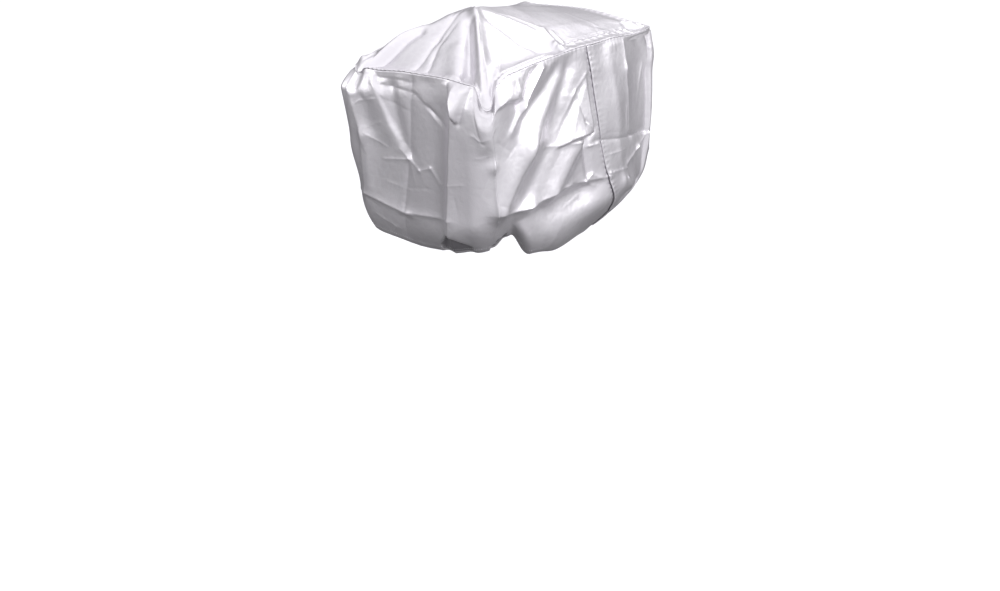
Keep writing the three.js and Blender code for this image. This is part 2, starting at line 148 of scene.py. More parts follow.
def around(column, u):
    """A column's value at a distance round the seam, eased between the rows."""
    at = np.array([row.at for row in SECTIONS] + [SECTIONS[0].at + girth])
    values = np.array([getattr(row, column) for row in SECTIONS + SECTIONS[:1]])
    place = (u + width) % girth - width
    row = np.clip(np.searchsorted(at, place, side="right") - 1, 0, len(at) - 2)
    share = (place - at[row]) / (at[row + 1] - at[row])
    return mixed(values[row], values[row + 1], eased(share))


print("hem hangs", min(row.drop for row in SECTIONS), "to", max(row.drop for row in SECTIONS), "mm down")

# %% [markdown]
# ## Folds as short tables
# A fold is a line on the cloth with a height at each end and a width on either side. A soft roll falls off
# like a bell, and a pressed edge comes to a sharp line. Adding such heights gives cloth that can be checked
# fold by fold against the real one, which a simulation can't promise.

# %% Fold maths
Fold = namedtuple("Fold", "name u1 d1 u2 d2 h1 h2 wide back")
EDGE_FALL = 1.4


def fold_height(fold, sharp, u, d):
    """Height of one fold at places on the cloth."""
    du, dd = fold.u2 - fold.u1, fold.d2 - fold.d1
    reach = math.hypot(du, dd)
    on_line = ((u - fold.u1) * du + (d - fold.d1) * dd) / reach
    off_line = ((u - fold.u1) * dd - (d - fold.d1) * du) / reach
    past = np.maximum(0, np.maximum(-on_line, on_line - reach))
    slope = np.abs(off_line) / np.where(off_line > 0, fold.wide, fold.back)
    section = np.exp(-EDGE_FALL * slope) if sharp else np.exp(-slope * slope)
    fade = np.exp(-((past / max(fold.wide, fold.back)) ** 2))
    return mixed(fold.h1, fold.h2, np.clip(on_line / reach, 0, 1)) * section * fade


def folds_height(rolls, edges, u, d):
    height = sum(fold_height(fold, False, u, d) for fold in rolls)
    return height + sum(fold_height(fold, True, u, d) for fold in edges)


# %% Folds of the skirt
SKIRT_ROLLS = [
    Fold("slack from the aft ear", -214, 12, -176, 92, 3, 2.4, 4, 24),
    Fold("slack, lower half", -176, 92, -150, 132, 1.8, 0.8, 5, 20),
    Fold("hollow beside slack", -180, 24, -160, 108, -4, -2, 10, 10),
    Fold("pale strip by the far corner", -222, 112, -226, 190, 2.5, 2.5, 14, 9),
    Fold("hollow between tongues", -30, 10, -28, 60, -2.5, -1, 8, 14),
    Fold("dark strip by the crest", -92, 40, -94, 220, -3, -3, 18, 24),
    Fold("pillow over the near corner", 22, 27, 74, 37, 5, 4, 16, 4.5),
    Fold("hollow before the thin ridge", 110, 6, 68, 46, -3, -3, 6, 9),
    Fold("thin ridge", 126, 8, 74, 49, 3.5, 4.5, 8, 5),
    Fold("thin ridge, lower", 74, 49, 48, 76, 4.5, 2.5, 9, 5),
    Fold("hollow after the thin ridge", 162, 24, 80, 68, -5, -5, 16, 11),
    Fold("first long roll", 132, 64, 92, 112, 4, 8, 17, 24),
    Fold("first long roll, lower", 92, 112, 22, 192, 8, 9, 17, 26),
    Fold("hollow after that roll", 174, 91, 84, 188, -3, -3, 15, 15),
    Fold("hollow before the kite", 196, 26, 150, 92, -4, -4, 14, 14),
    Fold("second long roll", 216, 142, 158, 194, 8, 8, 16, 26),
    Fold("hollow by closing seam", 256, 126, 235, 141, -2, -5, 7, 8),
    Fold("hollow by closing seam, lower", 235, 141, 246, 194, -5, -3, 9, 5),
    Fold("dark band under lower edge", 84, 224, 236, 220, -4, -6.5, 10, 28),
    Fold("low roll, near side", 170, 272, 292, 250, 5, 5, 28, 34),
    Fold("flare of the near hem", 130, 304, 300, 318, 6, 8, 26, 20),
    Fold("pale band right of closing seam", 306, 20, 334, 186, 1.5, 1.5, 14, 14),
    Fold("hollow behind front corner", 402, 60, 392, 130, -2.5, -2.5, 22, 22),
    Fold("near side, middle bulge", 322, 100, 322, 214, 8, 6, 62, 70),
    Fold("side turning to the front", 446, 40, 440, 200, -12, -8, 6, 62),
    Fold("front face swell by that corner", 464, 10, 464, 230, 10, 6, 40, 8),
    Fold("forward low bulge", 348, 238, 384, 252, 5, 5, 16, 16),
    Fold("forward low hollow", 376, 276, 440, 262, -7, -6, 11, 11),
    Fold("bulge under front corner", 424, 12, 446, 52, 4, 4, 14, 12),
    Fold("front face slack", 500, 30, 566, 210, 7, 6, 26, 22),
    Fold("front face hollow", 560, 16, 604, 190, -8, -5, 20, 20),
    Fold("front face second slack", 668, 20, 622, 220, 8, 6, 22, 26),
    Fold("far side first roll", 742, 24, 812, 226, 8, 7, 26, 24),
    Fold("far side hollow", 800, 20, 856, 180, -8, -5, 22, 22),
    Fold("far side second roll", 994, 16, 930, 176, 7, 8, 24, 26),
    Fold("far side third roll", 1090, 26, 1026, 222, 7, 7, 26, 22),
    Fold("far side second hollow", 1042, 14, 1000, 150, -7, -5, 20, 20),
    Fold("slack behind aft ear", 1148, 16, 1104, 168, 8, 5, 20, 24),
]
SKIRT_EDGES = [
    Fold("near corner edge", 4, 46, 3, 120, 0.3, 5, 10, 11),
    Fold("near corner edge, lower", 3, 120, 6, 200, 5, 6, 10, 12),
    Fold("near corner crease line", 6, 60, 8, 206, -2.2, -2.4, 3, 2.5),
    Fold("aft face groove", -142, 6, -146, 122, -1.6, -1.8, 8, 8),
    Fold("aft face groove, lower", -146, 122, -168, 262, -1.8, -2.0, 7, 8),
    Fold("crest of the aft face", -64, 62, -72, 232, 12, 13, 84, 17),
    Fold("far aft corner edge", -242, 62, -232, 110, 3, 4, 20, 9),
    Fold("far aft corner edge, lower", -232, 110, -237, 204, 4, 3, 20, 9),
    Fold("near side lower edge", 20, 200, 92, 204, 3.5, 6.5, 20, 6),
    Fold("near side lower edge, middle", 92, 204, 190, 199, 6, 4, 20, 6),
    Fold("near side lower edge, forward", 190, 199, 296, 214, 4, 2.5, 14, 6),
    Fold("aft face lower edge", -242, 205, -158, 223, 3, 2.6, 16, 6),
    Fold("aft face lower edge, near half", -156, 222, -76, 213, 2.6, 2.2, 14, 6),
    Fold("near side level groove", 268, 146, 366, 166, -2.0, -2.2, 7, 9),
    Fold("near side level groove, forward", 366, 166, 450, 177, -2.2, -2.6, 7, 9),
    Fold("near side forward edge", 353, 4, 352, 50, 2.2, 2.2, 9, 9),
    Fold("near side forward edge, lower", 352, 50, 357, 150, 2.2, 1.0, 9, 9),
    Fold("slant to front corner", 446, 182, 403, 194, 3, 3, 7, 8),
    Fold("slant to front corner, lower", 403, 194, 362, 208, 3, 2, 7, 8),
    Fold("near front corner edge", 453, 14, 446, 200, 2, 2, 12, 5),
    Fold("front face low edge", 470, 214, 700, 220, 3, 4, 14, 12),
    Fold("far front corner edge", 708, 18, 714, 206, 6, 5, 14, 14),
    Fold("far side middle edge", 884, 8, 890, 240, 4, 4, 12, 14),
    Fold("far side low edge", 730, 210, 1120, 205, 3, 4, 14, 12),
]
print(len(SKIRT_ROLLS), "rolls and", len(SKIRT_EDGES), "pressed edges on the skirt")

# %% [markdown]
# ## Wedges and pockets
# Slack that has slid over the aft seam hangs below it as a tongue: it stands out further on its way down
# and ends in a tip that shades the cloth under it. The kite on the near side is the same thing upside
# down, narrow above and wide below. At the hem the cloth is tucked in under a crisp lip, which leaves two
# pockets just above the rim. Their dark inside is painted shade, a dark non-metal colour laid on the cloth.

# %% Wedges and pockets
Wedge = namedtuple("Wedge", "name top tip left1 left2 right1 right2 out soft_left soft_right fall bow")
WEDGES = [
    Wedge("tongue below the aft seam", -8, 60, -82, -55, -34, -50, 18, 8, 8, 8, 2),
    Wedge("kite", 36, 131, 234, 156, 244, 256, 11, 22, 7, 9, -4),
    Wedge("small dent by the far corner", 22, 50, -238, -232, -204, -212, 2, 12, 12, 9, 8),
]
Pocket = namedtuple("Pocket", "name u1 d1 u2 d2 curl deep")
POCKET_REACH = 5
POCKETS = [
    Pocket("pocket above the aft hem", -102, 230, -30, 254, 30, 7),
    Pocket("pocket at the near corner", -14, 252, 44, 238, 8, 6),
]


def wedge_height(wedge, u, d):
    share = (d - wedge.top) / (wedge.tip - wedge.top)
    left, right = mixed(wedge.left1, wedge.left2, share), mixed(wedge.right1, wedge.right2, share)
    side = (2 * u - left - right) / np.maximum(right - left, 1)
    across = eased((u - left) / wedge.soft_left) * eased((right - u) / wedge.soft_right)
    past = (d + wedge.bow * side * side - wedge.tip) / wedge.fall
    return wedge.out * np.clip(share, 0, 1) * across * (1 - eased(past + 1))


def pocket_place(pocket, u, d):
    """Strength of the pocket along its lip, and the distance below the lip."""
    along = (u - pocket.u1) / (pocket.u2 - pocket.u1)
    window = eased(along * 9) * eased((1 - along) * 4)
    below = d - mixed(pocket.d1, pocket.d2, along) - pocket.curl * (1 - eased(along / 0.36))
    return window, below


def pocket_height(pocket, u, d):
    window, below = pocket_place(pocket, u, d)
    return -pocket.deep * window * np.clip(below / POCKET_REACH, 0, 1)


def pocket_painted_shade(pocket, u, d, rim):
    """How much painted shade a pocket gets: a dark colour laid below its lip, standing in for the shade
    there.
    """
    window, below = pocket_place(pocket, u, d)
    # painted shade: the share of dark colour that stands in for the pocket's shade
    return eased(window * 2) * eased(below / 2) * eased((rim - d - 2.5) / 2)


# %% [markdown]
# ## Small creases
# Between the main folds lie small sharp creases, some of them meeting in stars where the cloth was
# crushed. They are too fine for the solids, so they are listed here in the same way.

# %% Small creases of the skirt
SMALL_CREASES = [
    Fold("first wrinkle under the aft seam", -206, 9, -148, 13, -0.8, -0.8, 2.5, 9),
    Fold("second wrinkle", -192, 21, -142, 28, -1.1, -1.0, 2.5, 12),
    Fold("third wrinkle", -180, 47, -157, 54, -0.7, -0.5, 3, 12),
    Fold("aft ear, small fold", -214, 18, -193, 38, 1.4, 1.0, 3, 4),
    Fold("wrinkle by the far corner", -220, 108, -190, 120, 1.0, 0.6, 3, 4),
    Fold("far corner dent, bright edge", -234, 51, -208, 44, 0.8, 0.8, 3, 5),
    Fold("aft star, first", -163, 121, -148, 133, 0.7, 0.9, 3, 4),
    Fold("aft star, second", -148, 133, -129, 148, 0.9, 0.8, 3, 4),
    Fold("aft star, third", -129, 148, -108, 140, 0.8, 0.8, 3, 4),
    Fold("aft star, fourth", -108, 140, -86, 166, 1.1, 0.5, 3, 4),
    Fold("aft star, left", -193, 141, -150, 134, 0.7, 1.0, 3, 4),
    Fold("aft star, down", -148, 134, -138, 170, 1.0, 0.3, 4, 5),
    Fold("slant to the tongue", -127, 35, -107, 49, -1.0, -1.3, 2.5, 11),
    Fold("slant to the tongue, lower", -107, 49, -76, 68, -1.3, -1.2, 2.5, 11),
    Fold("fan beside the tongue", -118, 40, -100, 62, 0.9, 0.5, 3, 4),
    Fold("line right of the tongue", -36, 4, -49, 56, -2.4, -1.8, 6, 2.5),
    Fold("fold under the tongue", -32, 20, -12, 66, -1.2, -0.8, 4, 5),
    Fold("beside the near corner", -26, 70, -8, 56, 0.8, 0.5, 4, 5),
    Fold("beside the near corner, lower", -20, 104, -6, 97, 0.5, 0.3, 4, 5),
    Fold("crease down the pillow", 62, 3, 72, 36, 0.9, 0.9, 3, 4),
    Fold("second fan crease", 92, 2, 66, 34, -0.8, -0.7, 3, 4),
    Fold("kite, left edge", 240, 40, 209, 62, 1.2, 1.2, 3.5, 5),
    Fold("kite, left edge, lower", 209, 62, 168, 104, 1.6, 0.6, 4, 6),
    Fold("kite, facet edge", 228, 58, 216, 74, -1.0, -1.0, 3, 4),
    Fold("kite, right edge", 216, 72, 231, 106, -1.4, -1.8, 3, 5),
    Fold("kite, right corner", 231, 106, 256, 127, -1.8, -1.6, 3, 5),
    Fold("level crease under the kite", 134, 122, 224, 136, 1.0, 1.6, 4, 4),
    Fold("level crease by the closing seam", 248, 150, 272, 152, 1.8, 1.2, 3, 4),
    Fold("star under the kite, left", 224, 212, 240, 207, 1.2, 1.4, 3, 4),
    Fold("star, right", 240, 207, 264, 220, 1.4, 1.2, 3, 4),
    Fold("star, up", 242, 208, 256, 199, 1.2, 1.2, 3, 4),
    Fold("star, far right", 256, 199, 280, 212, 1.2, 1.0, 3, 4),
    Fold("short crease", 303, 209, 356, 217, 1.8, 1.2, 3, 4),
    Fold("short second crease", 306, 178, 350, 182, 1.0, 0.5, 3, 4),
    Fold("bright facet", 358, 234, 378, 256, 2.2, 1.8, 3, 5),
    Fold("low line", 330, 284, 400, 272, 1.6, 1.2, 4, 5),
    Fold("front corner crease", 420, 5, 449, 34, 1.8, 1.4, 3, 5),
    Fold("slant behind the front corner", 424, 60, 398, 116, 1.4, 0.8, 4, 6),
    Fold("hem crease, near side", 150, 296, 176, 262, 1.2, 0.4, 4, 5),
    Fold("front star, up", 560, 150, 590, 92, 1.6, 0.8, 4, 5),
    Fold("front star, across", 520, 168, 610, 140, 1.6, 1.4, 4, 5),
    Fold("front, low slant", 630, 196, 690, 158, 1.6, 0.8, 4, 5),
    Fold("far, star across", 850, 128, 932, 108, 1.8, 1.2, 4, 5),
    Fold("far, star up", 888, 118, 912, 60, 1.6, 0.8, 4, 5),
    Fold("far, star down", 888, 118, 868, 176, 1.6, 0.8, 4, 5),
    Fold("far, slant", 1000, 190, 1064, 140, 1.6, 1.0, 4, 5),
    Fold("far, low slant", 760, 236, 820, 196, 1.6, 1.0, 4, 5),
    Fold("far, level crease", 900, 150, 1100, 142, 1.6, 1.8, 5, 4),
]


def stray_creases(seed, count, u_range, d_range):
    """Short faint creases with no cause that shows, scattered the same way each time."""
    pick = random.Random(seed)
    creases = []
    for number in range(count):
        u, d = pick.uniform(*u_range), pick.uniform(*d_range)
        way, reach = pick.uniform(0, math.pi), pick.uniform(14, 48)
        high = pick.choice((-1, 1)) * pick.uniform(0.2, 0.8)
        end_u, end_d = u + reach * math.cos(way), d + reach * math.sin(way)
        creases.append(Fold(f"stray {number}", u, d, end_u, end_d, high, high / 2, 3.5, 5))
    return creases


STRAY_CREASES = stray_creases(3, 100, (-250, 1140), (14, 280))
print(len(SMALL_CREASES), "small creases and", len(STRAY_CREASES), "stray ones")

# %% [markdown]
# ## Slack and puckers
# Two more kinds of unevenness are the same all over. Slow waves of slack come from noise, and puckers run
# square to a seam and fade within a few centimetres of it.

# %% Unevenness
SLACK = ((62, 150, 1.7, 0.5), (26, 44, 0.45, 7.5))


def wander(u, d, long, deep, seed):
    """Smooth noise over the cloth, with waves of about that size."""
    places = zip(u.ravel() / long, d.ravel() / deep)
    return np.array([noise.noise((a, b, seed)) for a, b in places]).reshape(u.shape)


def unevenness(u, d):
    return sum(high * wander(u, d, long, deep, seed) for long, deep, high, seed in SLACK)


def puckers(along, pitch):
    """Uneven ridges along a line of stitches, from nought to one."""
    turn = along / pitch + 0.55 * np.sin(along / (2.3 * pitch)) + 0.4 * np.sin(along / (3.9 * pitch) + 1)
    strong = 0.65 + 0.35 * np.sin(along / (4.7 * pitch) + 2)
    return strong * (0.5 + 0.5 * np.cos(2 * np.pi * turn)) ** 1.6


print("slack", [high for _, _, high, _ in SLACK], "mm")

# %% [markdown]
# ## Corners that droop over the seam
# Slack in the crown's pipes slides over the aft corners, so the top panel droops there below the seam in a
# round tip and the seam goes down with it. Both pieces share this droop, so that they stay sewn.

# %% Droops of the aft corners
Droop = namedtuple("Droop", "side at wide down reach out way_x way_y")
DROOPS = [
    Droop(-1, -8, 14.5, 29, 46, 10, -0.75, -0.66),
    Droop(1, -244, 9, 8, 30, 6, -0.95, 0.3),
]


def droop_share(droop, u):
    return np.exp(-np.abs((u - droop.at) / droop.wide) ** 3.4)


# %% [markdown]
# ## The skirt's surface
# A point of the skirt starts on a box with rounded corners, moved outwards by its section, and the folds
# then push it along the same way. The corners get rounder towards the hem, as the cloth there only follows
# the drawn-in hem and no longer the square seam.

# %% Surface of the skirt
CLOSING_SEAM, CLOSING_LEAN, HEM_LEAN, LEAN_SPREAD = 247.5, 62, 48, 150
LAP = 11
FOLDS_START = 10


def seam_box(u):
    """Corner-sharp box through the seam, at a distance round it."""
    place = u % girth
    sides = [place < length, place < length + width, place < 2 * length + width]
    far_x = front_edge + length + width - place
    front_y = place - length - half_width
    x = np.select(sides, [aft_edge + place, front_edge + 0 * place, far_x], aft_edge)
    y = np.select(sides, [0 * place - half_width, front_y, half_width], girth - half_width - place)
    return x, y


def rounded_box(x, y, out, square):
    """The box moved outwards and its corners rounded: place and way outwards, in plan."""
    long, wide = half_length + out, half_width + out
    a, b = (x - middle_x) / long, y / wide
    measure = np.maximum((np.abs(a) ** square + np.abs(b) ** square) ** (1 / square), 1e-9)
    way_x = np.sign(a) * np.abs(a / measure) ** (square - 1) / long
    way_y = np.sign(b) * np.abs(b / measure) ** (square - 1) / wide
    size = np.maximum(np.hypot(way_x, way_y), 1e-12)
    return middle_x + (x - middle_x) / measure, y / measure, way_x / size, way_y / size


def lean(place, fraction):
    """How far forward the cloth lies near the closing seam, which slants towards the hem."""
    off = np.minimum(place - CLOSING_SEAM, np.abs(place - CLOSING_SEAM - girth))
    return (CLOSING_LEAN * fraction + HEM_LEAN * fraction**5) * (1 - eased(off / LEAN_SPREAD))


def skirt_surface(place, fraction):
    """Points of the skirt's outer face, and its way outwards in plan."""
    u = place + lean(place, fraction)
    stand = [0, around("shoulder", u), around("middle", u), around("belly", u), -around("tuck", u)]
    out = 0 * u
    for k in range(4):
        share = np.clip((fraction - STATIONS[k]) / (STATIONS[k + 1] - STATIONS[k]), 0, 1)
        bend = share * share if k == 3 else eased(share)
        out = np.where(fraction >= STATIONS[k], mixed(stand[k], stand[k + 1], bend), out)
    square = np.where(
        fraction < STATIONS[2],
        mixed(SQUARE_AT_SEAM, SQUARE_HALFWAY, eased(fraction / STATIONS[2])),
        mixed(SQUARE_HALFWAY, around("square", u), eased((fraction - STATIONS[2]) / (1 - STATIONS[2]))),
    )
    x, y, way_x, way_y = rounded_box(*seam_box(u), out, square)
    drop = around("drop", u)
    depth = fraction * drop
    on_cloth = u % girth
    on_cloth = np.where(on_cloth > girth - width + 1, on_cloth - girth, on_cloth)
    creases = SKIRT_EDGES + SMALL_CREASES + STRAY_CREASES
    height = folds_height(SKIRT_ROLLS, creases, on_cloth, depth)
    height = height + sum(wedge_height(wedge, on_cloth, depth) for wedge in WEDGES)
    height = height + sum(pocket_height(pocket, on_cloth, depth) for pocket in POCKETS)
    height = height + unevenness(place, depth)
    from_closing = np.minimum(place - CLOSING_SEAM, 60)
    height = height + 1.1 * puckers(depth, 9) * np.exp(-from_closing / 9) * eased(from_closing / 3)
    to_closing = np.abs(CLOSING_SEAM + girth - place)
    height = height - (0.6 + 0.8 * puckers(depth, 9)) * np.exp(-((to_closing / 6) ** 2))
    push = height * eased(depth / FOLDS_START) + seam_puckers(on_cloth) * np.exp(-depth / 8)
    x, y = x + way_x * push, y + way_y * push
    z = SEAM_Z + around("rise", u) * (1 - eased(fraction / STATIONS[2])) - depth
    z = z - sum(droop.down * droop_share(droop, on_cloth) for droop in DROOPS) * (1 - eased(fraction / 0.5))
    return np.stack([x, y, z], -1), way_x, way_y


def seam_puckers(u):
    """Puckers of the skirt under the top seam: strong along the near side, weak on the others."""
    strength = 0.3 + 0.7 * eased((u - 60) / 60) * (1 - eased((u - 200) / 40))
    return 0.8 * strength * puckers(u, 11)


# %% [markdown]
# ## One strip for the skirt
# The skirt is a grid: one way it runs round the cover from the closing seam's outer end to the end lapped
# under it, the other way from the turned-up hem inside to the seam allowance inside. Rows and columns lie
# close together where the cloth turns sharply and wider apart elsewhere. Turning the real allowances makes
# the seam's groove and the hem's round edge true shapes instead of painted lines.

# %% Rows and columns of the skirt
SEAM_TURN, SEAM_ALLOWANCE = 0.8, 8
HEM_TURN, HEM_BAND = 1.5, 9
SIDE_STEPS = {"near": 2.0, "front": 6.0, "far": 7.0, "aft": 1.9}
SKIRT_ROWS = 182
EDGE_TURN = 0.7
USUAL_DROP = 280
Row = namedtuple("Row", "fraction out up hem_out hem_down")


def skirt_columns():
    """Distances round the seam of the grid's columns, from the closing seam once round and under it."""
    stops = [
        (CLOSING_SEAM, length, "near"),
        (length, length + width, "front"),
        (length + width, 2 * length + width, "far"),
        (2 * length + width, girth, "aft"),
        (girth, girth + CLOSING_SEAM + LAP, "near"),
    ]
    parts = []
    for start, end, side in stops:
        parts.append(np.linspace(start, end, round((end - start) / SIDE_STEPS[side]), endpoint=False))
    places = np.concatenate(parts + [[stops[-1][1]]])
    under = [(CLOSING_SEAM + back, -2 * EDGE_TURN) for back in (8, 4, 0.5)]
    for turn in (180, 140, 90, 45):
        angle = math.radians(turn)
        under.append((CLOSING_SEAM - EDGE_TURN * math.sin(angle), EDGE_TURN * (math.cos(angle) - 1)))
    turned = np.array(under)
    return np.concatenate([turned[:, 0], places]), np.concatenate([turned[:, 1], 0 * places])


def skirt_rows():
    """Rows from the hem's inner end down to its rim, up the skirt and over into the seam allowance."""
    rows = [Row(1 - up / USUAL_DROP, 0, 0, -2 * HEM_TURN, 0) for up in np.linspace(HEM_BAND, 0, 4)]
    for turn in np.linspace(180, 0, 7)[1:-1]:
        angle = math.radians(turn)
        rows.append(Row(1, 0, 0, HEM_TURN * (math.cos(angle) - 1), HEM_TURN * math.sin(angle)))
    first = SEAM_TURN / USUAL_DROP
    even = np.linspace(0, 1, SKIRT_ROWS)
    even = even + 0.03 * np.sin(2 * np.pi * even)
    rows += [Row(first + (1 - first) * (1 - at), 0, 0, 0, 0) for at in even]
    for turn in np.linspace(0, 180, 5)[1:]:
        angle = math.radians(turn)
        rows.append(Row(0, SEAM_TURN * (math.cos(angle) - 1), SEAM_TURN * (math.sin(angle) - 1), 0, 0))
    for down in (SEAM_ALLOWANCE / 2, SEAM_ALLOWANCE):
        rows.append(Row(0, -2 * SEAM_TURN, -SEAM_TURN - down, 0, 0))
    return rows


(columns, turned_in), rows = skirt_columns(), skirt_rows()
print(len(columns), "columns and", len(rows), "rows")


# %% Grid helper
def cloth_grid(name, column_count, row_count):
    """A flat grid as a mesh object, with the column and the row of each of its points."""
    bm = bmesh.new()
    bmesh.ops.create_grid(bm, x_segments=column_count - 1, y_segments=row_count - 1, size=0.5)
    mesh = bpy.data.meshes.new(name)
    bm.to_mesh(mesh)
    bm.free()
    piece = bpy.data.objects.new(name, mesh)
    bpy.context.scene.collection.objects.link(piece)
    flat = np.zeros(3 * len(mesh.vertices))
    mesh.vertices.foreach_get("co", flat)
    x, y, _ = flat.reshape(-1, 3).T
    column = np.rint((x + 0.5) * (column_count - 1)).astype(int)
    row = np.rint((y + 0.5) * (row_count - 1)).astype(int)
    return piece, column, row


def place_points(piece, points, cloth_u, cloth_d):
    """Moves a piece's points, given in millimetres, and lays its UV map flat on the cloth, in metres."""
    mesh = piece.data
    mesh.vertices.foreach_set("co", (points * MM).ravel())
    layer = mesh.uv_layers.new(name="cloth")
    corner = np.zeros(len(mesh.loops), int)
    mesh.loops.foreach_get("vertex_index", corner)
    layer.data.foreach_set("uv", (np.stack([cloth_u, -cloth_d], -1)[corner] * MM).ravel())
    mesh.polygons.foreach_set("use_smooth", [True] * len(mesh.polygons))
    mesh.update()
    return piece


# %% Skirt mesh
SLOPE_STEP = 0.012


def lap_height(place):
    """How far the outer end of the closing seam stands off the end under it."""
    return (2 * EDGE_TURN + 0.4) * (1 - eased((place - CLOSING_SEAM - LAP) / 40))


def make_skirt():
    piece, column, row = cloth_grid("skirt_cloth", len(columns), len(rows))
    table = np.array(rows)[row]
    place = columns[column]
    points, way_x, way_y = skirt_surface(place, table[:, 0])
    out = table[:, 1] + lap_height(place) + turned_in[column]
    points[:, 0] += way_x * out
    points[:, 1] += way_y * out
    points[:, 2] += table[:, 2]
    above, _, _ = skirt_surface(place, table[:, 0] - SLOPE_STEP)
    down = points - above
    fall = np.hypot((down[:, 0] * way_x + down[:, 1] * way_y), down[:, 2])
    inward = (down[:, 0] * way_x + down[:, 1] * way_y) / fall
    drop = down[:, 2] / fall
    hem_out, hem_down = table[:, 3], table[:, 4]
    side = -drop * hem_out + inward * hem_down
    points[:, 0] += way_x * side
    points[:, 1] += way_y * side
    points[:, 2] += inward * hem_out + drop * hem_down
    depth = table[:, 0] * around("drop", place) - table[:, 2] + hem_down
    u = np.where(place > girth - width, place - girth, place)
    # painted shade: marks the pockets' cloth for the dark colour that stands in for their shade
    pocket_shade_share = sum(pocket_painted_shade(pocket, u, depth, around("drop", u)) for pocket in POCKETS) * (hem_out == 0)
    piece.data.attributes.new("painted_pocket_shade", "FLOAT", "POINT").data.foreach_set("value", pocket_shade_share)
    return place_points(piece, points, place, depth)


skirt = make_skirt()
print("skirt has", len(skirt.data.polygons), "faces")

# %% [markdown]
# ## The top panel's folds
# Three pipes of slack run from the crown to the corners and the aft seam. Lines are given here by how far
# forward and how far sideways of the crown they run, the near side being minus.

# %% Folds of the top panel
TOP_ROLLS = [
    Fold("middle pipe", -6, -7, -124, -106, 7, 12, 8, 10),
    Fold("trough left of the pipe", -30, -16, -132, -90, -7, -11, 8, 6),
    Fold("roll to the tongue", -84, -28, -136, -66, 3, 5, 14, 12),
    Fold("pipe to far aft corner", -54, 58, -138, 112, 3, 13, 7, 8),
    Fold("trough beside that pipe", -64, 52, -131, 96, -5, -9, 6, 7),
    Fold("trough down the near slope", 0, -32, 8, -76, -4, -5, 7, 12),
    Fold("trough down the near slope, lower", 8, -76, 26, -112, -5, -6, 7, 12),
    Fold("tuck at crown line foot", 62, -108, 56, -126, 5, 4, 6, 7),
    Fold("front ear hollow", 270, -106, 306, -122, -5, -6, 7, 6),
    Fold("front ear", 280, -94, 306, -106, 4, 5, 8, 5),
    Fold("far slope swell", 0, 30, 34, 104, 5, 4, 26, 26),
    Fold("swell of the far hip", -26, 34, -96, 92, 4, 4, 15, 15),
    Fold("aft ear", -92, 104, -136, 124, 6, 14, 9, 9),
    Fold("pipe to far front corner", 190, 74, 300, 118, 3, 7, 14, 14),
]
TOP_EDGES = [
    Fold("first aft crease", -6, 16, -72, 13, -1.8, -2.4, 9, 6),
    Fold("first aft crease, lower", -72, 13, -131, 19, -2.4, -3.0, 9, 6),
    Fold("second aft crease", -40, 5, -93, 2, -1.2, -2.2, 7, 5),
    Fold("second aft crease, lower", -93, 2, -130, -9, -2.2, -2.6, 7, 5),
    Fold("fold into the near lip", -60, -92, -96, -118, -1.4, -2.2, 4, 4),
    Fold("slit left of the pipe", -44, -25, -104, -74, -1.5, -4.0, 3, 3),
    Fold("slit left of the pipe, lower", -104, -74, -136, -90, -4.0, -4.0, 3, 3),
    Fold("right edge of the pipe", -30, -34, -103, -93, -1.0, -1.8, 3, 4),
    Fold("right edge of the pipe, lower", -103, -93, -126, -114, -1.8, -1.4, 3, 4),
    Fold("slit in the pipe", -112, -88, -126, -104, -2.2, -2.0, 2.5, 3),
    Fold("far pipe, small gather", -104, 108, -126, 112, 1.8, 1.8, 4, 4),
    Fold("far pipe, second gather", -98, 116, -122, 120, 1.6, 1.4, 4, 4),
    Fold("far pipe, third gather", -112, 100, -128, 100, -1.4, -1.4, 3, 3),
    Fold("near slope crease", 12, -84, 24, -122, 1.2, 1.6, 4, 5),
    Fold("small level crease", -60, -96, -30, -100, 0.8, 0.6, 3, 4),
    Fold("edge of the crown line", 15, -7, 52, -36, 0.4, 0.5, 5, 7),
    Fold("edge of the crown line, middle", 52, -36, 76, -75, 0.5, 1.2, 5, 7),
    Fold("edge of the crown line, foot", 76, -75, 66, -118, 1.8, 2.2, 5, 6),
    Fold("second line by the foot", 88, -84, 80, -116, 1.2, 1.6, 4, 4),
    Fold("tuck, first gather", 66, -112, 54, -128, -2.0, -2.0, 2.5, 3),
    Fold("tuck, second gather", 80, -114, 70, -128, -2.0, -2.0, 2.5, 3),
    Fold("top crease, level", 90, -20, 240, -44, 0.4, 0.3, 6, 6),
    Fold("top crease, across", 176, 90, 206, -86, 0.4, 0.6, 6, 6),
    Fold("top crease, far slant", 90, 92, 150, 10, 0.4, 0.3, 6, 6),
    Fold("front ear crease", 288, -98, 300, -118, 2.2, 2.2, 3, 4),
] + stray_creases(9, 22, (-120, 300), (-115, 110))
CROWN_LINE = ((0, 0), (33, 31), (60, 51), (88, 64), (110, 62), (130, 38))
CROWN_LINE_FOOT, SLOPE_FOOT, FRONT_CAMBER, SLOPE_TILT, CROWN_ROUND = 9, 6, 13, 0.1, 5
CROWN_BLUNT = 3.5
FOLDS_IN, CROWN_IN = 10, 60
print(len(TOP_ROLLS) + len(TOP_EDGES), "folds on the top panel")


# %% Surface of the top panel
def crown_lift(x, y):
    """Height of the smooth crown over the seam: a line of crests, with a slope on either side of it."""
    outward = np.abs(y) / half_width
    line_x = np.interp(np.abs(y), *zip(*CROWN_LINE))
    share = (x - line_x) / (front_edge - line_x)
    front = mixed(mixed(CROWN_RISE, CROWN_LINE_FOOT, outward), FRONT_CAMBER * (1 - outward**2), share)
    aft = CROWN_RISE * (x - aft_edge) / -aft_edge
    side = mixed(CROWN_RISE + SLOPE_TILT * x, SLOPE_FOOT, outward)
    return np.where(x > line_x, front, (aft + side - np.hypot(aft - side, CROWN_ROUND)) / 2)


